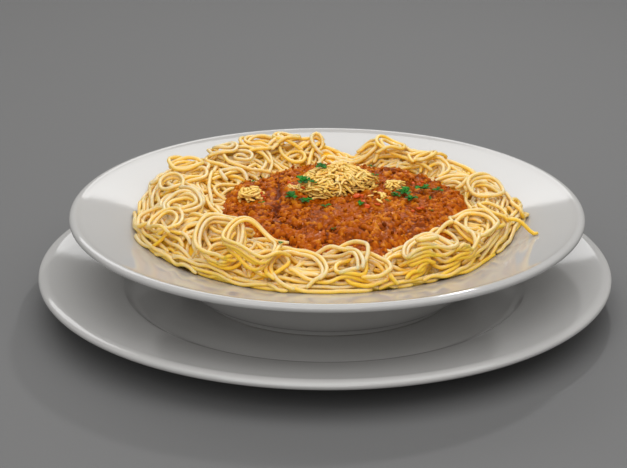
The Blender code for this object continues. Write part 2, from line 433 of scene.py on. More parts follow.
# Loops laid last: middle x, y, radius, bearing of the start, degrees round, hand, strands, the
# tails before and after, the stretch along y, and the slope by which the loop leans up towards
# the rim, or if negative towards the middle, where it may reach over the sauce.
LOOPS = (
    # the back
    (-36, 76, 8.0, 200, 170, -1, 3, 14, 18, 0.8, 0.08),
    (-58, 61, 6.0, 160, 230, -1, 2, 14, 16, 1.0, 0.1),
    (-22, 80, 5.5, 200, 200, -1, 2, 14, 18, 1.0, 0.1),
    (-4, 78, 3.6, 200, 300, 1, 1, 12, 14, 1.0, 0.8),
    (24, 72, 6.0, 150, 190, -1, 2, 12, 16, 1.0, 0.05),
    (38, 70, 6.0, 180, 190, -1, 2, 14, 18, 1.0, 0.1),
    (56, 54, 5.5, 150, 200, -1, 2, 14, 16, 1.0, 0.05),
    # the left flank
    (-78, 40, 7.0, 120, 300, -1, 2, 18, 20, 1.0, 0.0),
    (-84, 6, 6.5, 60, 330, -1, 1, 16, 20, 1.2, 0.0),
    (-76, -22, 8.0, 20, 340, 1, 2, 18, 20, 1.3, 0.0),
    (-84, -44, 7.5, 330, 230, 1, 2, 20, 22, 1.3, 0.0),
    # the right flank
    (88, 6, 7.5, 90, 280, -1, 2, 18, 20, 1.0, 0.0),
    (90, -20, 8.5, 250, 300, 1, 1, 18, 20, 1.0, 0.0),
    (78, -42, 11.0, 215, 300, -1, 2, 20, 22, 1.2, 0.0),
    (66, -70, 12.0, 170, 150, 1, 2, 16, 26, 1.2, 0.0),
    # arcs that run from the ridge down to the rim at the front
    (98, -25, 62.0, 216, 30, 1, 3, 8, 10, 1.0, 0.0),
    (40, -94, 10.0, 200, 150, -1, 2, 15, 26, 1.2, 0.0),
    (53, -87, 12.5, 250, 340, -1, 2, 14, 16, 1.25, 0.0),
    (51, -89, 5.5, 250, 420, -1, 1, 8, 12, 1.3, 0.0),
    (5, -66, 40.0, 250, 34, 1, 1, 16, 20, 1.0, 0.0),
    (12, -98, 8.0, 165, 130, 1, 1, 18, 22, 1.2, 0.0),
    (22, -101, 11.0, 85, 110, -1, 1, 12, 14, 1.0, 0.0),
    (10, -92, 12.0, 120, 170, -1, 1, 5, 14, 1.2, -0.14),
    (-3, -101, 19.0, 130, 95, -1, 2, 10, 24, 1.0, 0.0),
    (-15, -99, 13.0, 195, 200, -1, 2, 12, 14, 1.05, -0.03),
    # the two large loops at the front left
    (-54, -76, 10.5, 100, 470, -1, 2, 20, 26, 1.75, -0.06),
    (-37, -88, 12.5, 200, 420, 1, 2, 22, 22, 1.35, -0.06),
)

# Strand ends that stray over the rim: start x, y, bearing, length and how much they bend.
STRAYS = ((96, -30, 0, 18, -0.004), (-84, 21, 158, 15, -0.012))

# Where the sauce runs down over the spaghetti: x, y, reach, and how far the strands lie lower.
SPILLS = ((-12, -79, 9.0, 6.5), (26, -80, 10.0, 6.0), (63, -54, 8.0, 3.5))

# Where the ridge has a gap that stays open, at the back and the back right, and the hollows
# under the large loops at the front.
GAPS = ((5, 74, 7.0, 7.5), (13, 75, 8.0, 7.5), (74, 47, 7.0, 5.0), (52, -87, 14.0, 3.9),
        (-40, -86, 16.0, 3.0))


def edge_of(node, middle, radius, least):
    """The last of these radii, at each whole degree from the middle, at which a solid stands
    over the dish by more than the least height."""
    bearing = np.radians(np.arange(360))
    place = middle[0] + radius[:, None] * np.cos(bearing), middle[1] + radius[:, None] * np.sin(bearing)
    read = SERVING["relief"].read
    covered = read(*place, SERVING[node]) - read(*place, SERVING["dish"]) > least
    return radius[np.where(covered, np.arange(len(radius))[:, None], 0).max(axis=0)]


def heap_edge():
    """Radius of the heap's outline at each whole degree, drawn in by 5 mm at the right, where
    strands that stick out would make the heap too wide."""
    edge = edge_of("spaghetti", (DISH_X, 0), np.arange(60, 125, 0.5), 0.6)
    return edge - 5.0 * np.exp(-(((np.arange(360) + 190) % 360 - 180) / 25.0) ** 2)


def drawn_in(paths, margin):
    """The paths with what runs over the heap's outline, or nearer to it than the margin, pulled
    back towards the middle, so that the strands bend along the outline."""
    x, y = np.moveaxis(paths, -1, 0)
    away, degree = from_dish(x, y)
    over = margin - (SERVING["edge"][degree] - away)
    share = 1 - 2.0 * np.logaddexp(0, over / 2.0) / away
    return np.stack([smooth_line(DISH_X + (x - DISH_X) * share, 2.0), smooth_line(y * share, 2.0)],
                    axis=-1)


def wandering_paths(rng, count, steps):
    """Plan paths that curl at random and turn back at the heap's edge and at its middle.

    The heading turns by a curvature that drifts slowly round each strand's own mean, with a few
    tight curls. Near a boundary the turn away from it, by whichever hand is shorter, takes over.
    """
    low, high = corners_of("bolognese_sauce")
    middle = (low.x + high.x) / 2, (low.y + high.y) / 2
    inner = (high.x - low.x) / 2 - UNDER_SAUCE
    hand = rng.choice([-1, 1], count)
    mean = hand * rng.uniform(0.004, 0.052, count)
    drift = wobble(rng, (count, steps), 10.0) * 0.18
    curl_at = rng.uniform(0, steps, (count, 4, 1))
    curl = np.exp(-(((np.arange(steps) - curl_at) / rng.uniform(7, 18, (count, 4, 1))) ** 2))
    curl = (curl * rng.choice([0, 1], (count, 4, 1)) * rng.uniform(0.05, 0.14, (count, 4, 1))).sum(1)
    bend = mean[:, None] + drift + np.minimum(curl, 0.16) * hand[:, None]
    bearing = rng.uniform(0, 2 * math.pi, count)
    radius = rng.uniform(inner + 8, SERVING["edge"][degree_of(bearing)] - 2)
    x, y = radius * np.cos(bearing), radius * np.sin(bearing)
    heading = rng.uniform(0, 2 * math.pi, count)
    paths = np.empty((count, steps, 2))
    for k in range(steps):
        paths[:, k, 0], paths[:, k, 1] = x, y
        bearing = np.arctan2(y, x)
        rim = SERVING["edge"][degree_of(bearing)] - 1.5
        off = half_turned(heading - bearing)
        near_rim = (np.clip((np.hypot(x, y) - rim + TURN_BACK) / TURN_BACK, 0, 1.3)
                    * np.clip(np.cos(off) + 0.25, 0, 1))
        dx, dy = x + DISH_X - middle[0], y - middle[1]
        off_middle = half_turned(heading - np.arctan2(dy, dx))
        near_middle = (np.clip((inner + TURN_BACK - np.hypot(dx, dy)) / TURN_BACK, 0, 1.3)
                       * np.clip(0.25 - np.cos(off_middle), 0, 1))
        heading = heading + (bend[:, k] * (1 - np.clip(near_rim + near_middle, 0, 1))
                             + np.sign(off) * near_rim * 0.13 - np.sign(off_middle) * near_middle * 0.13)
        x, y = x + np.cos(heading), y + np.sin(heading)
    paths[..., 0] += DISH_X
    return paths


def loop_path(x, y, radius, bearing, sweep, hand, tails):
    """A strand that runs in, goes round a circle by sweep degrees, and runs out again in wider
    curves. Its heading is the running sum of its curvature."""
    round_length = radius * math.radians(sweep)
    s = np.arange(-tails[0], round_length + tails[1])
    beyond = np.maximum(np.maximum(-s, s - round_length), 0)
    bend = hand / radius * np.exp(-((beyond / 12.0) ** 2)) + hand / 60.0 * (1 - np.exp(-beyond / 12.0))
    start, bearing = int(tails[0]), math.radians(bearing)
    heading = np.cumsum(bend)
    heading += bearing + hand * math.pi / 2 - heading[start]
    path = way(heading)
    foot = np.array([x + radius * math.cos(bearing), y + radius * math.sin(bearing)])
    return path + foot - path[start]


def beside(path, offset):
    """A path a set distance to the left of another."""
    ahead = unit(np.gradient(path, axis=0))
    return path + np.stack([-ahead[:, 1], ahead[:, 0]], axis=1) * offset[:, None]


def draped(need):
    """The lowest smooth line over these heights that bends up over a support no tighter than
    ARCH_RADIUS and down between supports no tighter than SAG_RADIUS: the highest of parabolas
    hung on each point, then its hollows rounded by a parabola rolled along from above."""
    along = np.arange(len(need))
    square = (along[:, None] - along[None]) ** 2
    over = (need[None] - square / (2 * ARCH_RADIUS)).max(axis=1)
    raised = (over[None] - square / (2 * SAG_RADIUS)).max(axis=1)
    return (raised[None] + square / (2 * SAG_RADIUS)).min(axis=1)


def strand_heights(path, radius):
    """Heights of a strand laid on the relief, and on itself where it crosses itself."""
    need = SERVING["relief"].resting(*path.T, radius)
    z = draped(need)
    apart = ((path[:, None] - path[None]) ** 2).sum(axis=2)
    place = np.arange(len(path))
    rise = np.sqrt(np.maximum(4 * radius**2 - apart, 0))
    earlier = place[:, None] - place[None] > 5 * radius
    over = np.where(earlier & (rise > 0), z[None] + rise, -1e3).max(axis=1)
    if (over > need).any():
        need = np.maximum(need, over)
        z = draped(need)
    return smooth_line(np.maximum(smooth_line(z, 1.6), need - 0.5), 0.9)


def sharpest(path):
    """The tightest bend of a plan path to the left and to the right, as curvatures."""
    ahead = np.gradient(path, axis=0)
    bend = np.gradient(np.unwrap(np.arctan2(ahead[:, 1], ahead[:, 0])))
    return bend.max(), -bend.min()


def open_cells():
    """Grid cells where strands may be laid: inside the heap's outline and outside the sauce."""
    relief = SERVING["relief"]
    away, degree = from_dish(relief.x, relief.y)
    return np.argwhere((away < SERVING["edge"][degree] - 2)
                       & (SERVING["bolognese_sauce"] < SERVING["dish"] + 12))


def deepest_place(ceiling, cells, rng, radius):
    """Of 300 places drawn at random, the one where a strand would lie furthest below the ceiling."""
    relief = SERVING["relief"]
    i, j = cells[rng.integers(0, len(cells), 300)].T
    best = np.argmax(ceiling[i, j] - relief.resting(relief.x[i, j], relief.y[i, j], radius))
    return np.array([relief.x[i[best], j[best]], relief.y[i[best], j[best]]])


def paths_through(pool, place, rng, count, length):
    """Stretches of the pool's paths that pass closest to a place, moved to run right through it."""
    apart = ((pool[:, ::3] - place) ** 2).sum(axis=2)
    nearest = apart.argmin(axis=1)
    best = np.argsort(apart[np.arange(len(pool)), nearest])[:count]
    nearest = nearest[best] * 3
    start = np.clip(nearest - rng.integers(0, length, count), 0, pool.shape[1] - length)
    stretch = pool[best[:, None], start[:, None] + np.arange(length)]
    return stretch + (place - pool[best, nearest])[:, None]


def spill_depth(x, y):
    """How far the strands lie lower at a place: where sauce runs over them, and in a gap."""
    return sum(depth * np.exp(-((x - at_x) ** 2 + (y - at_y) ** 2) / reach**2)
               for at_x, at_y, reach, depth in SPILLS + GAPS)


def headroom(path, z, radius):
    """How far a strand may still be raised. No loop rises over HIGHEST, or less at the back,
    where that level falls by a third of the way past the ridge."""
    level = np.minimum(HIGHEST, HIGHEST - 0.33 * (path[:, 1] - 70))
    return (level - z - radius).min()


def lay(laid, path, z, radius):
    """Adds a strand to those that are laid, and to the relief."""
    SERVING["relief"].press(*path.T, z, radius)
    laid.append(np.column_stack([path, z]))


def lay_mat(pool, cells, rng, radius):
    """Lays strands close over the core, so that little of it shows. Each crosses over those
    before it, but rises no more than MAT_DEPTH over the core. The barest places come first."""
    relief, laid = SERVING["relief"], []
    ground = relief.height.copy()
    for _ in range(MAT_STRANDS):
        place = deepest_place(ground + 2.0, cells, rng, 0.6 * radius)
        trial = paths_through(pool, place, rng, 40, rng.integers(30, 75))
        trial = drawn_in(trial, rng.uniform(-0.5, 4.0))
        x, y = np.moveaxis(trial, -1, 0)
        bare = relief.read(x, y, ground) + 2.0 - relief.read(x, y)
        path = trial[np.argmax(np.clip(bare, 0, 2).mean(axis=1))]
        lowest = relief.read(*path.T, ground) + 0.8 * radius
        need = smooth_line(relief.resting(*path.T, radius), 2.5)
        lay(laid, path, smooth_line(np.clip(need, lowest, lowest + MAT_DEPTH), 1.5), radius)
    return laid


def lay_heap(settings, radius):
    """Fills the heap from the core up: a mat, then bundles of one to four strands. Of the paths
    through the deepest hollow, the one that fills most is laid. The level that they may reach
    rises from the mat to the solid's upper side, so the heap grows evenly."""
    rng = np.random.default_rng(settings.seed)
    relief, dish, most = SERVING["relief"], SERVING["dish"], settings.most_bundles
    pool = wandering_paths(rng, *POOL)
    away, degree = from_dish(relief.x, relief.y)
    goal = np.maximum(SERVING["spaghetti"] - 2.0 - spill_depth(relief.x, relief.y), dish + 2.6 * radius)
    goal = np.where(away < SERVING["edge"][degree], goal, dish)
    cells = open_cells()
    ground = relief.height.copy()
    laid = lay_mat(pool, cells, rng, radius)
    for turn in range(most):
        ceiling = ground + (goal - ground) * min(1.0, 0.45 + 0.65 * turn / most)
        place = deepest_place(ceiling, cells, rng, radius)
        margin = rng.uniform(-1.0, 5.0)
        length = rng.integers(40, 100 - 50 * turn // most)
        trial = drawn_in(paths_through(pool, place, rng, 60, length), margin)
        x, y = np.moveaxis(trial, -1, 0)
        allowed = relief.read(x, y, ceiling)
        missing = allowed - relief.read(x, y)
        score = np.clip(missing, -2, 3).mean(axis=1) - 1.5 * (missing < 0).mean(axis=1)
        for best in np.argsort(-score)[:4]:
            lead = trial[best]
            z = strand_heights(lead, radius)
            if score[best] < 0 or np.percentile(z + radius - allowed[best], MOST) > PROUD:
                continue
            left, right = sharpest(lead)
            side = 1 if left < right else -1
            for number in range(rng.integers(1, 5)):
                if number and min(left, right) > 1 / (number * 2.1 * radius + 5):
                    break
                path = beside(lead, side * (number * 2.1 * radius)
                              + wobble(rng, len(lead), 14.0) * 4.0 * min(number, 1))
                path = drawn_in(path, min(margin, 0.5) - 1.0) if number else path
                z = strand_heights(path, radius)
                if np.percentile(z + radius - allowed[best], MOST) > PROUD + 0.2:
                    break
                start, end = rng.integers(0, 12, 2) * min(number, 1)
                kept = slice(start, len(path) - end)
                lay(laid, path[kept], z[kept], radius)
            break
    return laid


def longest_run(path, keep):
    """The longest stretch of the path whose points are all kept."""
    ends = np.flatnonzero(np.diff(np.concatenate([[0], keep, [0]]))).reshape(-1, 2)
    start, end = ends[np.argmax(ends[:, 1] - ends[:, 0])]
    return path[start:end]


def clear_gap(laid, radius):
    """Cuts the strands short that would close the gap at the back: those between x = 0 and
    x = 18 that stand over a level of 61 mm at y = 69, which falls by a third behind it. The
    strands that lie close over the core stay."""
    cleared = []
    for strand in laid:
        x, y, z = strand.T
        close = SERVING["relief"].read(x, y, SERVING["spaghetti"]) - HEAP_DEPTH + 4.5
        level = np.maximum(61 - 0.34 * (y - 69), close)
        clear = (np.abs(x - 9) > 9) | (y < 60) | (z + radius < level)
        if clear.any():
            cleared.append(longest_run(strand, clear))
    return [strand for strand in cleared if len(strand) > 8]


def within(path, deepest=12.0):
    """The path drawn in at the heap's outline and cut short where the sauce is too deep."""
    path, read = drawn_in(path, 1.0), SERVING["relief"].read
    sauce = read(*path.T, SERVING["bolognese_sauce"]) - read(*path.T, SERVING["dish"])
    return longest_run(path, (sauce < deepest) & (spill_depth(*path.T) < deepest / 3))


def lay_curls(rng, radius):
    """Lays arcs and small loops where the heap is still lowest, each with tails of its own; every
    fourth one lies near the outline."""
    target, edge, laid = SERVING["spaghetti"], SERVING["edge"], []
    cells = open_cells()
    for turn in range(CURLS):
        place = deepest_place(target + 2.0, cells, rng, radius)
        if turn % 4 == 0:
            degree = rng.integers(0, 360)
            reach, bearing = edge[degree] - rng.uniform(5, 13), math.radians(degree)
            place = np.array([DISH_X + reach * math.cos(bearing), reach * math.sin(bearing)])
        size, sweep, tails = rng.uniform(5, 12), rng.uniform(110, 340), rng.uniform(10, 24, 2)
        start, hand = rng.uniform(0, 360), rng.choice([-1, 1])
        for number in range(rng.integers(1, 3)):
            middle = place + rng.uniform(-1, 1, 2) * number
            path = loop_path(*middle, size + number * 2.2 * radius, start, sweep, hand, tails)
            path = within(path + wobble(rng, path.T.shape, 8.0).T * 2.0)
            z = strand_heights(path, radius)
            over = z + radius - SERVING["relief"].read(*path.T, target)
            if (len(path) < 15 or np.percentile(over, MOST) > PROUD + 0.3
                    or headroom(path, z, radius) < 0):
                break
            lay(laid, path, z, radius)
    return laid


def lay_loops(settings, radius):
    """Lays curls all round, the loops and arcs of LOOPS with their parallel strands, and STRAYS."""
    rng = np.random.default_rng(settings.seed + 7)
    laid = lay_curls(rng, radius)
    for x, y, size, bearing, sweep, hand, count, before, after, stretch, lean in LOOPS:
        outward = np.array([x - DISH_X, y]) / math.hypot(x - DISH_X, y)
        for number in range(count):
            tails = before + rng.uniform(-6, 6), after + rng.uniform(-6, 6)
            path = loop_path(x, y, size + number * 2.15 * radius, bearing, sweep, hand, tails)
            path[:, 1] = y + (path[:, 1] - y) * stretch
            path = path + wobble(rng, path.T.shape, 9.0).T * 1.8
            path = within(path, 60.0 if lean < 0 else 12.0)
            near = np.clip(2.6 - np.hypot(path[:, 0] - x, path[:, 1] - y) / size, 0, 1)
            side = (path - [x, y]) @ outward * np.sign(lean)
            lift = abs(lean) * near * np.maximum(side + size, 0)
            z = strand_heights(path, radius) + smooth_line(lift, 1.5)
            lay(laid, path, z + min(0.0, headroom(path, z, radius)), radius)
    laid = clear_gap(laid, radius)
    for x, y, bearing, length, bend in STRAYS:
        path = way(math.radians(bearing) + bend * np.arange(0, length)) + [x, y]
        laid.append(np.column_stack([path, strand_heights(path, radius)]))
    return laid


def heap_depth(x, y):
    """Depth of the loose strands: full under the ridge, next to nothing under the sauce."""
    return HEAP_DEPTH * np.clip((np.hypot(x - 10, y + 5) - 38) / 20, 0.15, 1)


def add_core(material):
    """A smaller heap inside the loose strands: rings at even shares of the outline's radius, the
    upper side lower than the solid's by heap_depth, the lower side just over the dish. The relief
    becomes its upper side."""
    relief, dish, target = SERVING["relief"], SERVING["dish"], SERVING["spaghetti"]
    edge = all_round(SERVING["edge"], 4.0) - 9.0
    share = np.linspace(0, 1, 60)[1:, None]
    bearing = np.radians(np.arange(0, 360, 2))
    x = DISH_X + share * edge[::2] * np.cos(bearing)
    y = share * edge[::2] * np.sin(bearing)
    floor = relief.read(x, y, dish) + 0.4
    top = np.maximum(relief.read(x, y, target) - heap_depth(x, y), floor + 0.3)
    upper = np.stack([x, y, top], axis=-1).reshape(-1, 3)
    lower = np.stack([x, y, floor], axis=-1)[::-1].reshape(-1, 3)
    points = np.concatenate([upper, lower, [[DISH_X, 0, top[0, 0]], [DISH_X, 0, floor[0, 0]]]])
    columns, count = len(bearing), len(upper) + len(lower)
    quads = grid_quads(2 * len(x), columns, wrap=True)[:, ::-1]
    # Painted shade: the core's low tint of 0.22 gives it the deep gold of strands buried in shade.
    shape = points, quads, caps(count, columns, False), np.full(len(points), 0.22)
    degree = (np.degrees(np.arctan2(relief.y, relief.x - DISH_X)) % 360).astype(int) % 360
    inside = np.hypot(relief.x - DISH_X, relief.y) < edge[degree]
    relief.height = np.where(inside, np.maximum(dish, target - heap_depth(relief.x, relief.y)), dish)
    add_mesh("spaghetti_core", shape, material, "spaghetti")


def tucked(path):
    """The path with its ends bent down into the heap, though never into the dish."""
    along = np.arange(len(path)) * 2
    dive = np.exp(-((along / 4.5) ** 2)) + np.exp(-(((along[-1] - along) / 4.5) ** 2))
    floor = SERVING["relief"].read(*path.T[:2], SERVING["dish"]) + 1.2
    lower = np.minimum(path[:, 2], np.maximum(path[:, 2] - 2.2 * dive, floor))
    return np.column_stack([path[:, :2], lower])


def add_strands(name, laid, radius, seed, pieces):
    """Makes meshes of laid strands. A strand is paler where it lies open and deeper in colour
    where others cover it, by 0.3 some strands down: painted shade on the covered strands, with
    the crown's painted highlight on top and painted shade underneath."""
    rng = np.random.default_rng(seed)
    relief, cooked = SERVING["relief"], []
    cover = blurred(relief.height, 3.0)
    for path in laid:
        x, y, z = path[::2].T
        top = np.maximum(relief.read(x, y), relief.read(x, y, cover))
        reach = np.full(len(x), radius * rng.uniform(0.90, 1.06))
        reach[[0, -1]] *= 0.75
        wave = wobble(rng, len(x), 8.0)
        # Painted shade: the tint falls by up to 0.3, towards the golden colour, where the strand lies
        # under others.
        tint = rng.normal(0.61, 0.05) + wave * 0.12 - 0.3 * np.clip((top - z - 1.6) / 6.5, 0, 1)
        cooked.append((tucked(path[::2]), reach, tint))
    for number, share in enumerate(np.array_split(np.arange(len(cooked)), pieces)):
        # crown paints a highlight along each strand's top and shade along its underside.
        shape = strands(*zip(*(cooked[k] for k in share)), sides=7, crown=0.3)
        add_mesh(f"{name}_{number + 1}", shape, SERVING["pasta"], "spaghetti")


# ---------------------------------------------------------------- materials

def connect(tree, node, *values, **inputs):
    """Sets a node's inputs, the first ones in order and others by name, with _ for a space. A
    socket is linked to the input, and anything else becomes its value."""
    pairs = [*zip(node.inputs, values)]
    pairs += [(node.inputs[name.replace("_", " ")], value) for name, value in inputs.items()]
    for socket, value in pairs:
        if isinstance(value, bpy.types.NodeSocket):
            tree.links.new(value, socket)
        else:
            socket.default_value = value
    return node


def add_node(tree, kind, *values, **inputs):
    """A new shader node of a kind, with its inputs set."""
    return connect(tree, tree.nodes.new("ShaderNode" + kind), *values, **inputs)


def calculated(tree, operation, *values, clamp=False):
    """The result of one step of arithmetic on two or three values."""
    node = add_node(tree, "Math", *values)
    node.operation, node.use_clamp = operation, clamp
    return node.outputs[0]


def mixed(tree, mask, first, second):
    """A colour mix of two sockets, driven by a mask."""
    mix = tree.nodes.new("ShaderNodeMix")
    mix.data_type = "RGBA"
    sockets = mix.inputs["Factor"], mix.inputs[6], mix.inputs[7]
    for socket, source in zip(sockets, (mask, first, second)):
        tree.links.new(source, socket)
    return mix.outputs[2]


def ramp(tree, value, **ends):
    """A value carried from one range to another in a straight line, and held at its ends."""
    return add_node(tree, "MapRange", Value=value, **ends).outputs["Result"]


def noise(tree, **inputs):
    """Noise on the object's own coordinates, from 0 to 1."""
    place = add_node(tree, "TexCoord").outputs["Object"]
    return add_node(tree, "TexNoise", Vector=place, **inputs).outputs["Fac"]


def group_tree(name, inputs, outputs):
    """An empty shader node group with named sockets: a kind each, and a default for an input."""
    tree = bpy.data.node_groups.new(name, "ShaderNodeTree")
    for label, kind, *default in inputs:
        socket = tree.interface.new_socket(label, in_out="INPUT", socket_type="NodeSocket" + kind)
        if default:
            socket.default_value = default[0]
    for label, kind in outputs:
        tree.interface.new_socket(label, in_out="OUTPUT", socket_type="NodeSocket" + kind)
    return tree, tree.nodes.new("NodeGroupInput").outputs, tree.nodes.new("NodeGroupOutput")


def uneven_colour_group(name):
    """Dark, middle and light colours by a tint from 0 to 1, broken up by noise."""
    tree, given, out = group_tree(
        name, [("Dark", "Color"), ("Middle", "Color"), ("Light", "Color"), ("Tint", "Float", 0.5),
               ("Scale", "Float", 300.0), ("Breakup", "Float", 0.3)],
        [("Color", "Color"), ("Mask", "Float")])
    grain = noise(tree, Scale=given["Scale"], Detail=3.0, Roughness=0.6)
    centred = calculated(tree, "SUBTRACT", grain, 0.5)
    shifted = calculated(tree, "MULTIPLY_ADD", centred, given["Breakup"], given["Tint"], clamp=True)
    shade = given["Dark"]
    for start, lighter in ((0.0, "Middle"), (0.5, "Light")):
        half = ramp(tree, shifted, From_Min=start, From_Max=start + 0.5)
        shade = mixed(tree, half, shade, given[lighter])
    connect(tree, out, Color=shade, Mask=shifted)
    return tree


def fine_relief_group(name):
    """A fine uneven skin: noise of a given scale as a bump, and a mask for roughness."""
    tree, given, out = group_tree(name, [("Scale", "Float", 900.0), ("Depth", "Float", 0.0001)],
                                  [("Normal", "Vector"), ("Mask", "Float")])
    grain = noise(tree, Scale=given["Scale"], Detail=4.0, Roughness=0.55)
    bump = add_node(tree, "Bump", Strength=1.0, Height=grain, Distance=given["Depth"])
    connect(tree, out, Normal=bump.outputs["Normal"], Mask=grain)
    return tree


GROUPS = {"Uneven colour": uneven_colour_group, "Fine relief": fine_relief_group}


def place_group(tree, name, **inputs):
    """The outputs of a node for a shared group, which is made when it is first needed."""
    node = tree.nodes.new("ShaderNodeGroup")
    node.node_tree = bpy.data.node_groups.get(name) or GROUPS[name](name)
    return connect(tree, node, **inputs).outputs


def uneven_colour(tree, dark, middle, light, **inputs):
    """The colour that the shared group makes of these three."""
    return place_group(tree, "Uneven colour", Dark=(*dark, 1), Middle=(*middle, 1), Light=(*light, 1),
                       **inputs)["Color"]


def new_material(name):
    """A material, its node tree and its shader."""
    material = bpy.data.materials.new(name)
    material.use_nodes = True
    return material, material.node_tree, material.node_tree.nodes["Principled BSDF"]


def scaled(colour, factor):
    """Each channel times the factor."""
    return tuple(channel * factor for channel in colour)


def scatter_light(weight, *radius):
    """Light that goes through moist food: how far red, green and blue get, as shares of 1.5 mm."""
    return {"Subsurface_Weight": weight, "Subsurface_Radius": radius, "Subsurface_Scale": 0.0015}


def food_material(name, colours, rough, scale, breakup, skin, depth, **finish):
    """Moist food: three colours by the piece's own tint, broken up by noise of this scale, and a
    fine uneven skin of its own scale and depth, over which the roughness goes from low to high."""
    material, tree, shader = new_material(name)
    tint = add_node(tree, "Attribute")
    tint.attribute_name = "tint"
    shade = uneven_colour(tree, *colours, Tint=tint.outputs["Fac"], Scale=scale, Breakup=breakup)
    relief = place_group(tree, "Fine relief", Scale=skin, Depth=depth)
    connect(tree, shader, Base_Color=shade, Normal=relief["Normal"],
            Roughness=ramp(tree, relief["Mask"], To_Min=rough[0], To_Max=rough[1]), **finish)
    return material


def glaze_material(name, settings, foot):
    """White glaze, very slightly uneven in colour and gloss, with a bare grey foot below it."""
    material, tree, shader = new_material(name)
    white = tuple(settings.glaze)
    glaze = uneven_colour(tree, scaled(white, 0.95), white, scaled(white, 1.02), Tint=0.5, Scale=18.0,
                          Breakup=0.5)
    height = add_node(tree, "SeparateXYZ", add_node(tree, "TexCoord").outputs["Object"]).outputs["Z"]
    bare = ramp(tree, height, From_Min=(foot + 0.5) * MM, From_Max=(foot + 0.3) * MM)
    clay = add_node(tree, "RGB").outputs[0]
    clay.default_value = (0.55, 0.52, 0.47, 1)
    relief = place_group(tree, "Fine relief", Scale=35.0, Depth=0.00006)
    connect(tree, shader, Base_Color=mixed(tree, bare, glaze, clay), Normal=relief["Normal"], IOR=1.52,
            Roughness=ramp(tree, bare, To_Min=settings.gloss, To_Max=0.6))
    return material


# ---------------------------------------------------------------- plate and dish

def curves(start, *bends):
    """Points along curves, each from where the last one ended: its two control points, its end
    and its number of points."""
    points = []
    for first, second, end, count in bends:
        points += curve(start, first, second, end, count)
        start = end
    return points


def plate_outline():
    """The plate from its middle over the rim's rounded lip and back under it to the foot ring."""
    rim, top = PLATE_RADIUS, PLATE_TOP
    well = 7.5
    points = [(0.0, well), (60.0, well), (95.0, well), (103.0, well)]
    points += curves(
        points[-1],
        ((107.0, well), (108.5, 9.6), (111.0, well + 3.7), 14),
        ((123.0, 14.0), (139.0, 17.2), (rim - 6.6, top - 0.5), 16),
        ((rim - 4.8, top + 0.05), (rim - 2.8, top + 0.1), (rim - 1.0, top - 0.8), 6),
        ((rim + 0.3, top - 1.7), (rim + 0.3, top - 3.6), (rim - 1.9, top - 4.4), 7),
        ((140.0, 13.0), (118.0, 7.4), (100.0, 2.9), 14))
    foot = [(100.0, 2.9), (98.0, 0.0), (93.5, 0.0), (92.0, 2.8), (60.0, 2.8)]
    return points + rounded(foot, 0.7)[1:] + [(0.0, 2.8)]


def dish_inside():
    """The dish's upper surface out to the start of its lip."""
    points = [(0.0, 14.0), (30.0, 14.1), (55.0, 14.4)]
    return points + curves(points[-1], ((80.0, 15.0), (84.0, 40.2), (106.0, 46.2), 30),
                           ((114.5, 48.6), (125.0, 50.4), (DISH_RADIUS - 5.5, DISH_HIGH.z - 0.9), 12))


def dish_outline():
    """The inside, the rounded lip, and the underside down to the foot ring."""
    rim, top, low = DISH_RADIUS, DISH_HIGH.z, DISH_LOW.z
    under = curves(
        (rim - 5.5, top - 0.9),
        ((rim - 4.2, top - 0.3), (rim - 2.8, top + 0.3), (rim - 1.2, top - 0.6), 6),
        ((rim + 0.3, top - 1.4), (rim + 0.3, top - 3.3), (rim - 1.4, top - 4.2), 7),
        ((128.0, 47.0), (117.0, 44.6), (106.0, 42.0), 10),
        ((90.0, 38.0), (86.0, 14.0), (72.5, low + 3.0), 22))
    foot = [(72.5, low + 3.0), (71.5, low), (67.0, low), (66.0, low + 2.6), (40.0, low + 2.4)]
    return dish_inside() + under + rounded(foot, 0.7)[1:] + [(0.0, low + 2.4)]


def turn_piece(context, name, outline, middle_x, foot, slot, node):
    """Turns an outline round the upright line at middle_x into a glazed piece for the node."""
    settings = context.scene.dinner_crockery
    add_mesh(name, turned(outline, middle_x, settings.turn_steps),
             glaze_material(slot, settings, foot), node)
    return {"FINISHED"}


# ---------------------------------------------------------------- sauce

# The long gap between two spoonfuls of sauce: x, y and half the width.
FURROW = ((-20, 44, 1.8), (-27, 22, 2.4), (-26, -2, 1.6), (-26, -24, 2.6), (-25, -42, 2.4),
          (-13, -50, 2.4), (-5, -53, 2.2), (6, -52, 0.9))
BED_ROWS = 305           # points along each side of the bed's grid
CRUMB = 8                # grains that stick together


def find_sauce():
    """The sauce's middle, and from there its radius at each whole degree: the solid's, drawn out
    over SPILLS."""
    low, high = corners_of("bolognese_sauce")
    middle = (low.x + high.x) / 2, (low.y + high.y) / 2
    edge = all_round(edge_of("bolognese_sauce", middle, np.arange(20, 90, 0.5), 6), 2.0)
    for x, y, reach, _ in SPILLS:
        far = math.hypot(x - middle[0], y - middle[1]) + 0.5 * reach
        off = half_turned(np.radians(np.arange(360)) - math.atan2(y - middle[1], x - middle[0]))
        edge += np.exp(-((off * far / reach) ** 2)) * np.maximum(far - edge, 0)
    SERVING.update(sauce_middle=middle, sauce_edge=edge)


def sauce_reach(degree):
    """The sauce's radius at any bearing in degrees."""
    edge = SERVING["sauce_edge"]
    return np.interp(degree, np.arange(361), np.append(edge, edge[0]))


def from_sauce(degree, reach):
    """Places at these bearings and distances from the sauce's middle."""
    x, y = SERVING["sauce_middle"]
    return x + reach * np.cos(np.radians(degree)), y + reach * np.sin(np.radians(degree))


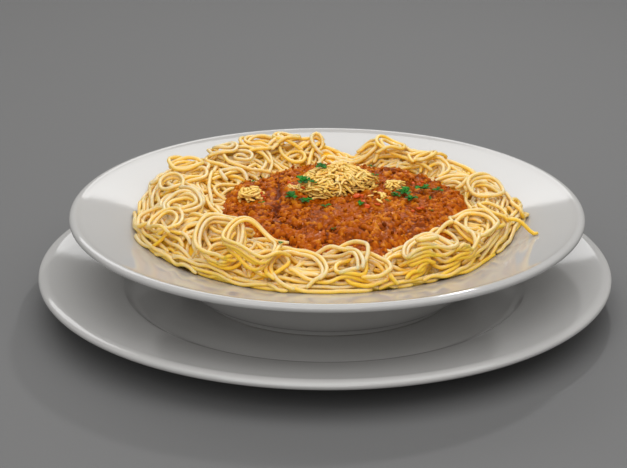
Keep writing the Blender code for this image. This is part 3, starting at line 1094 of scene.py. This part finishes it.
def furrow(bed, rng):
    """1 along FURROW and 0 away from it: a gap between two spoonfuls, as wide as its third
    column says, whose line wanders a little."""
    along = np.linspace(0, len(FURROW) - 1, 90)
    x, y, wide = (np.interp(along, np.arange(len(FURROW)), column) for column in np.array(FURROW).T)
    x = x + wobble(rng, len(along), 5.0) * 3.0
    y = y + wobble(rng, len(along), 5.0) * 3.0
    deep = np.zeros(bed.x.shape)
    for at_x, at_y, reach in zip(x, y, wide):
        deep = np.maximum(deep, np.exp(-(((bed.x - at_x) ** 2 + (bed.y - at_y) ** 2) / reach**2)))
    return deep


def make_bed(crown, rng):
    """The sauce without its grains: a low mound that falls by 6.5 mm at the edge and dips under
    the strands there, with soft hollows of three sizes and creases between its clumps. Its tint is
    darker in the creases: painted shade."""
    bed = Relief()
    shape = bed.x.shape
    dx, dy = bed.x - SERVING["sauce_middle"][0], bed.y - SERVING["sauce_middle"][1]
    share = np.hypot(dx, dy) / sauce_reach(np.degrees(np.arctan2(dy, dx)) % 360)
    hollows = sum(depth * lumpy_noise(rng, shape, width)
                  for depth, width in ((0.75, 16.0), (0.3, 6.0), (0.12, 2.0)))
    crease = np.exp(-((lumpy_noise(rng, shape, 9.0) / 0.16) ** 2))
    crease *= np.clip(0.5 + lumpy_noise(rng, shape, 20.0), 0, 1)
    crease = np.maximum(crease, furrow(bed, rng))
    height = (crown - 2.3 - 6.5 * share**2.4 + hollows - 2.0 * crease
              - 30 * np.clip(share - 0.93, 0, 1))
    bed.height = np.where(share < 1.12, height, 0)
    # Painted shade: creases, the furrow among them, take off 0.4 from the tint.
    bed.tint = 0.44 + 0.08 * lumpy_noise(rng, shape, 10.0) - 0.4 * crease
    return bed, crease


def scatter(rng, number):
    """Places spread evenly over the sauce."""
    degree = rng.uniform(0, 360, number)
    return from_sauce(degree, np.sqrt(rng.uniform(0, 1, number)) * sauce_reach(degree))


def press_grains(bed, crease, settings, rng):
    """Presses grains of mince into the bed: small ones everywhere, then crumbs of eight grains
    that share one colour. A thin coat of sauce, a slight blur, rounds them all."""
    usual = settings.grain / MM
    ground = bed.height.copy()

    def press(x, y, tint, rise, usual):
        radius = usual * rng.normal(1.0, 0.28, len(x)).clip(0.5, 1.9)
        z = bed.read(x, y, ground) + radius * rise
        # Painted shade: a grain in a crease gets a darker tint.
        tint = np.clip(tint - 0.38 * bed.read(x, y, crease), 0, 1)
        clear = SERVING["relief"].read(x, y) < z + 1.5
        bed.press(x[clear], y[clear], z[clear], radius[clear], tint[clear])

    small, crumbs = settings.grain_count // 2, settings.grain_count // (2 * CRUMB)
    x, y = scatter(rng, crumbs)
    kind = rng.choice(3, crumbs, p=(0.56, 0.26, 0.18))
    shade = np.array([0.50, 0.88, 0.16])[kind] + rng.normal(0, 0.05, crumbs)
    size = rng.uniform(1.0, 3.2, crumbs)
    press(*scatter(rng, small), rng.normal(0.47, 0.24, small), -0.35, usual * 0.62)
    apart = rng.normal(0, 1, (2, crumbs, CRUMB)) * size[:, None] * 0.55
    number = crumbs * CRUMB
    tint = np.repeat(shade, CRUMB) + rng.normal(0, 0.13, number)
    press((x[:, None] + apart[0]).ravel(), (y[:, None] + apart[1]).ravel(), tint,
          rng.uniform(-0.5, 0.45, number), usual)
    bed.height = np.where(bed.height > 1, blurred(bed.height, 0.55), bed.height)
    bed.tint = blurred(bed.tint, 0.45)


def bed_shape(bed, bottom):
    """A square grid bent to a disc, u sqrt(1 - v*v/2) by v sqrt(1 - u*u/2), with a skirt down to
    the bottom and a flat underside. The tint is painted: hollows darker as painted shade, and what
    stands out lighter as painted light."""
    count = BED_ROWS
    line = np.linspace(-1, 1, count)
    u, v = np.meshgrid(line, line, indexing="ij")
    disc_x, disc_y = u * np.sqrt(1 - v**2 / 2), v * np.sqrt(1 - u**2 / 2)
    edge = sauce_reach(np.degrees(np.arctan2(disc_y, disc_x)) % 360) * 1.03
    middle = SERVING["sauce_middle"]
    x, y = middle[0] + disc_x * edge, middle[1] + disc_y * edge
    proud = bed.read(x, y, bed.height - blurred(bed.height, 3.5))
    # Painted shade and light: hollows below the blurred relief get a darker tint, what stands out a
    # lighter one.
    tint = bed.read(x, y, bed.tint) + np.clip(proud * 0.36, -0.4, 0.15)
    points = np.stack([x, y, bed.read(x, y)], axis=-1).reshape(-1, 3)
    index = np.arange(count * count).reshape(count, count)
    ring = np.concatenate([index[:-1, 0], index[-1, :-1], index[:0:-1, -1], index[0, :0:-1]])
    under = points[ring] * [1, 1, 0] + [0, 0, bottom]
    low, pole = len(points) + np.arange(len(ring)), len(points) + len(ring)
    skirt = np.stack([ring, low, np.roll(low, -1), np.roll(ring, -1)], axis=1)
    tint = np.concatenate([tint.ravel(), np.full(len(ring) + 1, 0.2)])
    return (np.concatenate([points, under, [[*middle, bottom]]]),
            np.concatenate([grid_quads(count, count, wrap=False)[:, ::-1], skirt]),
            fan(pole, low, True), np.clip(tint, 0, 1))


def loose_grains(settings, rng):
    """Loose grains on the bed, each sunk by a fifth of its radius."""
    relief, number = SERVING["relief"], settings.loose_count
    share = rng.uniform(0, 1.0, number) ** 0.45
    degree = rng.uniform(0, 360, number)
    x, y = from_sauce(degree, share * sauce_reach(degree))
    radius = settings.grain / MM * rng.normal(0.78, 0.25, number).clip(0.4, 1.5)
    z = relief.resting(x, y, np.maximum(radius * 0.7, 0.4)) - 0.2 * radius
    kinds = rng.choice([0.5, 0.85, 0.2], number, p=(0.6, 0.25, 0.15))
    tint = np.clip(kinds + rng.normal(0, 0.08, number), 0, 1)
    relief.press(x, y, z, radius)
    return lumps(rng, np.stack([x, y, z], axis=1), radius, tint)


# ---------------------------------------------------------------- cheese and garnish

FLAT = 0.55              # a shred's thickness, as a share of its width
SHREDS = 1000, 90, 80    # in each pile of CHEESES

# Thinly strewn shreds beside the piles, x, y and reach of each patch.
LOOSE_SHREDS = {"grated_cheese_pile": ((-17, 3, 4.5),),
                "grated_cheese_right": ((29, -10, 7.0), (22, -5, 3.5))}

# Parsley: x, y and length of each leaf, and the tomato pieces: x, y and radius.
LEAVES = (
    (-12, -5, 7.5), (-2, 11, 6.5), (-18, -18, 7.5), (-11, -19, 6.5), (0, -28, 4.5), (19, -23, 5.0),
    (43, -3, 8.5), (39, -8, 5.0), (46, -13, 6.5), (53, 1, 7.0), (62, 7, 5.5), (34, -16, 3.5),
    (57, -9, 3.0), (27, 8, 3.5), (27, 44, 3.5), (4, -52, 3.0), (-23, -92, 3.2), (-34, -21, 3.2),
    (-6, -8, 5.0), (56, -24, 2.6), (-40, 24, 2.8),
)
TOMATO = ((17.5, -14, 2.4), (23.5, -22, 2.6), (20, -18, 1.8), (-12, -11, 2.0), (-19, 14, 1.8),
          (50, -23, 2.3), (74, -20, 1.5), (52, 22, 1.8), (-34, -5, 1.5), (31, -5, 1.6))


def shreds(node, number, rng):
    """Short bent flat shreds that taper to their ends. Each lands where the pile is still lowest
    under the solid's surface and rests on those before it; one that would stand more than 1 mm
    over the solid is left out."""
    relief, target = SERVING["relief"], SERVING[node]
    covered = target > SERVING["bolognese_sauce"] + 0.25
    if node == CHEESES[0]:
        covered &= (relief.x < 7) | (relief.y > 0.7 * relief.x - 14)
    for x, y, reach in LOOSE_SHREDS.get(node, ()):
        patch = np.hypot(relief.x - x, (relief.y - y) * 0.8) < reach
        target = np.where(patch, np.maximum(target, relief.height + 0.9), target)
        covered |= patch
    i, j = np.nonzero(covered)
    pile = []
    for _ in range(number):
        missing = np.clip(target[i, j] - relief.height[i, j] + 0.3, 0, 4) ** 1.5
        pick = rng.choice(len(i), p=missing / missing.sum())
        length = rng.uniform(4, 11)
        steps = max(6, int(length / 1.1))
        s = np.linspace(-0.5, 0.5, steps)
        heading = rng.uniform(0, math.pi) + rng.normal(0, 1.0) * s + rng.normal(0, 1.8) * s**2
        path = way(heading) * length / steps
        path += np.array([relief.x[i[pick], j[pick]], relief.y[i[pick], j[pick]]]) - path.mean(axis=0)
        reach = rng.uniform(0.65, 1.15) * (0.6 + 0.4 * np.sqrt(np.cos(s * math.pi * 0.96)))
        reach *= 1 + 0.12 * rng.normal(0, 1, steps)
        widest = reach.max()
        z = smooth_line(relief.resting(*path.T, widest), 2.0) - (1.25 - FLAT) * widest
        over = z + FLAT * widest - relief.read(*path.T, target)
        if np.percentile(over, 80) > 1.0 or over.max() > 2.2:
            continue
        relief.press(*path.T, z - (1 - FLAT) * widest, widest)
        tint = np.full(steps, np.clip(rng.normal(0.5, 0.25), 0, 1))
        pile.append((np.column_stack([path, z]), reach, tint))
    # crown paints a highlight along each shred's top and shade along its underside.
    return strands(*zip(*pile), flat=FLAT, crown=0.2)


def sprigs(rng):
    """Scraps of curled parsley: folded pointed leaflets with toothed sides that spread and rise
    from one foot. A leaflet is a flat strand as wide as a wave along it."""
    relief, leaflets = SERVING["relief"], []
    u = np.linspace(0, 1, 12)
    for x, y, length in LEAVES:
        foot = relief.resting(np.array([x]), np.array([y]), length * 0.25)[0] - length * 0.22
        number = 5 if length > 6 else 3 if length > 4 else 2
        first = rng.uniform(0, 360)
        for k in range(number):
            bearing = math.radians(first + 360 * (k + rng.uniform(-0.25, 0.25)) / number)
            bearing = bearing + rng.normal(0, 0.7) * u
            rise = rng.uniform(0.15, 0.75)
            reach = length * rng.uniform(0.5, 0.72)
            path = np.stack([x + reach * u * np.cos(bearing), y + reach * u * np.sin(bearing),
                             foot + 0.3 + reach * (rise * u - 0.55 * rise * u**2)], axis=1)
            path[:, 2] = np.maximum(path[:, 2], relief.read(*path.T[:2]) + 0.1)
            wide = 0.34 * reach * np.sin(math.pi * (0.04 + 0.92 * u)) ** 0.8
            leaflets.append((path, np.maximum(wide * (1 + 0.3 * np.cos(6 * math.pi * u + k)), 0.12),
                             np.full(12, rng.normal(0.5, 0.22)) + 0.3 * (u - 0.5)))
    # crown paints a lighter upper side and a darker lower side on each leaflet: painted light and shade.
    return strands(*zip(*leaflets), flat=0.14, fold=0.45, crown=0.15)


def tomato_lumps(rng):
    """Three small flat lumps at each place of TOMATO, sunk into the sauce by half their radius."""
    place = np.repeat(np.array(TOMATO), 3, axis=0)
    place[:, :2] += rng.normal(0, 0.7, (len(place), 2)) * place[:, 2:]
    place[:, 2] *= rng.uniform(0.5, 0.9, len(place))
    x, y, size = place.T
    z = SERVING["relief"].resting(x, y, size * 0.7) - 0.55 * size
    tint = rng.uniform(0.2, 0.8, len(place))
    return lumps(rng, np.column_stack([x, y, z]), size, tint, rows=7, columns=11, flat=0.5)


# ---------------------------------------------------------------- operators

class DINNER_OT_plate(bpy.types.Operator):
    """Turn the dinner plate that the dish stands on"""
    bl_idname = "dinner.plate"
    bl_label = "Dinner plate"

    def execute(self, context):
        return turn_piece(context, "dinner_plate", plate_outline(), 0.0, 0.0, "plate_glaze",
                          "underplate")


class DINNER_OT_dish(bpy.types.Operator):
    """Turn the wide-rimmed pasta dish"""
    bl_idname = "dinner.dish"
    bl_label = "Pasta dish"

    def execute(self, context):
        return turn_piece(context, "wide_rimmed_dish", dish_outline(), DISH_X, DISH_LOW.z,
                          "dish_glaze", "pasta_dish")


class DINNER_OT_spaghetti(bpy.types.Operator):
    """Lay the heap of spaghetti, strand by strand, over a smaller core"""
    bl_idname = "dinner.spaghetti"
    bl_label = "Spaghetti"

    def execute(self, context):
        settings = context.scene.dinner_spaghetti
        radius = settings.thickness / MM / 2
        SERVING["pasta"] = food_material(
            "cooked_spaghetti", (settings.gold_in_shade, (1.0, 0.63, 0.075), settings.pale_and_lit), rough=(0.22, 0.38),
            scale=260.0, breakup=0.45, skin=1400.0, depth=0.00005, IOR=1.33, Specular_IOR_Level=0.35,
            **scatter_light(0.3, 1.0, 0.7, 0.25))
        add_core(SERVING["pasta"])
        laid = clear_gap(lay_heap(settings, radius), radius)
        add_strands("spaghetti_heap", laid, radius, settings.seed + 1, 3)
        return {"FINISHED"}


class DINNER_OT_loops(bpy.types.Operator):
    """Lay the loops of spaghetti that lie open on top, some of them over the sauce's edge"""
    bl_idname = "dinner.loops"
    bl_label = "Spaghetti on top"

    def execute(self, context):
        settings = context.scene.dinner_spaghetti
        radius = settings.thickness / MM / 2
        add_strands("spaghetti_loops", lay_loops(settings, radius), radius, settings.seed + 2, 1)
        return {"FINISHED"}


class DINNER_OT_sauce(bpy.types.Operator):
    """Spoon the meat sauce into the middle: a bed of grains in sauce, with loose grains on top"""
    bl_idname = "dinner.sauce"
    bl_label = "Bolognese sauce"

    def execute(self, context):
        settings = context.scene.dinner_sauce
        rng = np.random.default_rng(settings.seed)
        relief = SERVING["relief"]
        low, high = corners_of("bolognese_sauce")
        find_sauce()
        material = food_material(
            "meat_sauce", (settings.dark, settings.middle, settings.light), rough=(0.08, 0.22),
            scale=900.0, breakup=0.5, skin=1500.0, depth=0.00014, Specular_IOR_Level=0.06)
        bed, crease = make_bed(high.z, rng)
        press_grains(bed, crease, settings, rng)
        add_mesh("sauce_bed", bed_shape(bed, low.z + 6), material, "bolognese_sauce")
        relief.height = np.maximum(relief.height, bed.height)
        add_mesh("loose_mince", loose_grains(settings, rng), material, "bolognese_sauce")
        return {"FINISHED"}


class DINNER_OT_cheese(bpy.types.Operator):
    """Scatter grated cheese: one pile in the middle and two small ones"""
    bl_idname = "dinner.cheese"
    bl_label = "Grated cheese"

    def execute(self, context):
        settings = context.scene.dinner_toppings
        rng = np.random.default_rng(settings.seed)
        red, green, blue = settings.cheese
        material = food_material(
            "grated_cheese", ((red, green * 0.80, blue * 0.4), (red, green, blue),
                              (1.0, min(1, green * 1.18), blue * 1.9)),
            rough=(0.32, 0.50), scale=500.0, breakup=0.3, skin=1200.0, depth=0.00008,
            **scatter_light(0.5, 1.0, 0.8, 0.4))
        for node, number in zip(CHEESES, SHREDS):
            add_mesh(node + "_shreds", shreds(node, number, rng), material, node)
        return {"FINISHED"}


class DINNER_OT_garnish(bpy.types.Operator):
    """Drop chopped parsley and small pieces of tomato on the sauce"""
    bl_idname = "dinner.garnish"
    bl_label = "Parsley and tomato"

    def execute(self, context):
        settings = context.scene.dinner_toppings
        rng = np.random.default_rng(settings.seed + 1)
        leaf, red = settings.leaf, settings.tomato
        green = food_material(
            "parsley", (scaled(leaf, 0.3), leaf, scaled(leaf, 1.9)), rough=(0.32, 0.55), scale=700.0,
            breakup=0.4, skin=900.0, depth=0.00012, Specular_IOR_Level=0.08)
        add_mesh("parsley_leaves", sprigs(rng), green)
        flesh = food_material(
            "tomato", (scaled(red, 0.6), red, scaled(red, 1.3)), rough=(0.12, 0.3), scale=400.0,
            breakup=0.4, skin=900.0, depth=0.00006, Specular_IOR_Level=0.12)
        add_mesh("tomato_bits", tomato_lumps(rng), flesh)
        return {"FINISHED"}


# Name, place, watts, width and depth of each light, in metres. All of them face the dish.
AIM = 0, 0, 0.04
LIGHTS = (
    ("overhead", (0.12, -0.30, 1.25), 14.0, 1.8, 1.8),
    ("small_lamp", (0.25, 0.75, 0.8), 2.5, 0.06, 0.06),
    ("back_panel", (-0.35, 1.2, 0.95), 5.0, 1.2, 0.6),
    ("right_panel", (1.2, -0.3, 0.8), 1.2, 0.6, 0.8),
    ("front_fill", (-0.3, -1.3, 0.85), 8.5, 1.4, 0.9),
)

# What the camera looks at, in metres, and its roll in degrees.
LOOK_AT = -0.00627, 0, 0.0372
ROLL = 0.15


class DINNER_OT_studio(bpy.types.Operator):
    """Set the floor, the soft lights and the camera"""
    bl_idname = "dinner.studio"
    bl_label = "Studio"

    def execute(self, context):
        settings, link = context.scene.dinner_studio, context.scene.collection.objects.link
        self.add_floor(settings.floor, link)
        self.add_lights(context.scene, link)
        self.add_camera(context.scene, settings, link)
        return {"FINISHED"}

    def add_floor(self, grey, link):
        """A disc of 6 m radius."""
        material, tree, shader = new_material("table_top")
        shade = uneven_colour(tree, scaled(grey, 0.94), grey, scaled(grey, 1.06), Tint=0.5,
                              Scale=900.0, Breakup=0.8)
        connect(tree, shader, Base_Color=shade, Roughness=0.75)
        mesh = bpy.data.meshes.new("table_top")
        bearing = np.arange(96) * 2 * math.pi / 96
        rim = np.stack([6 * np.cos(bearing), 6 * np.sin(bearing), np.zeros(96)], axis=1)
        mesh.from_pydata(rim.tolist(), [], [list(range(96))])
        mesh.materials.append(material)
        floor = bpy.data.objects.new("table_top", mesh)
        link(floor)

    def add_lights(self, scene, link):
        scene.world = bpy.data.worlds.new("studio")
        scene.world.use_nodes = True
        connect(scene.world.node_tree, scene.world.node_tree.nodes["Background"],
                Color=(1.0, 0.98, 0.95, 1), Strength=0.25)
        for name, place, power, width, depth in LIGHTS:
            light = bpy.data.lights.new(name, "AREA")
            light.shape, light.energy = "RECTANGLE", power
            light.size, light.size_y = width, depth
            lamp = bpy.data.objects.new(name, light)
            link(lamp)
            lamp.location = place
            lamp.rotation_euler = (Vector(AIM) - lamp.location).to_track_quat("-Z", "Y").to_euler()
        scene.view_settings.view_transform = "Standard"

    def add_camera(self, scene, settings, link):
        """Looks at LOOK_AT from the diner's side."""
        data = bpy.data.cameras.new("diner_view")
        data.lens, data.sensor_width, data.clip_start = settings.lens, 36.0, 0.05
        scene.camera = bpy.data.objects.new("diner_view", data)
        link(scene.camera)
        roll, rise = math.radians(ROLL), settings.elevation
        ahead, level = Vector((0, math.cos(rise), -math.sin(rise))), Vector((1, 0, 0))
        upright = level.cross(ahead)
        right = level * math.cos(roll) + upright * math.sin(roll)
        up = upright * math.cos(roll) - level * math.sin(roll)
        place = Vector(LOOK_AT) - ahead * settings.distance
        turn = Matrix((right, up, -ahead)).transposed().to_4x4()
        scene.camera.matrix_world = Matrix.Translation(place) @ turn


class DINNER_PT_panel(bpy.types.Panel):
    """Lists the steps that build the dinner, in order"""
    bl_label = "Spaghetti bolognese"
    bl_idname = "DINNER_PT_panel"
    bl_space_type = "VIEW_3D"
    bl_region_type = "UI"
    bl_category = "Dinner"

    def draw(self, context):
        for name in SETTINGS:
            box = self.layout.box()
            for item in SETTINGS[name].__annotations__:
                box.prop(getattr(context.scene, name), item)
        for operator in OPERATORS:
            self.layout.operator(operator.bl_idname)


OPERATORS = (DINNER_OT_plate, DINNER_OT_dish, DINNER_OT_spaghetti, DINNER_OT_sauce, DINNER_OT_loops,
             DINNER_OT_cheese, DINNER_OT_garnish, DINNER_OT_studio)
CLASSES = (*SETTINGS.values(), *OPERATORS, DINNER_PT_panel)


def register():
    for item in CLASSES:
        bpy.utils.register_class(item)
    for name, group in SETTINGS.items():
        setattr(bpy.types.Scene, name, PointerProperty(type=group))


def unregister():
    for name in SETTINGS:
        delattr(bpy.types.Scene, name)
    for item in reversed(CLASSES):
        bpy.utils.unregister_class(item)


def main():
    register()
    start_relief()
    bpy.ops.dinner.plate()
    bpy.ops.dinner.dish()
    bpy.ops.dinner.spaghetti()
    bpy.ops.dinner.sauce()
    bpy.ops.dinner.loops()
    bpy.ops.dinner.cheese()
    bpy.ops.dinner.garnish()
    bpy.ops.dinner.studio()


if __name__ == "__main__":
    main()
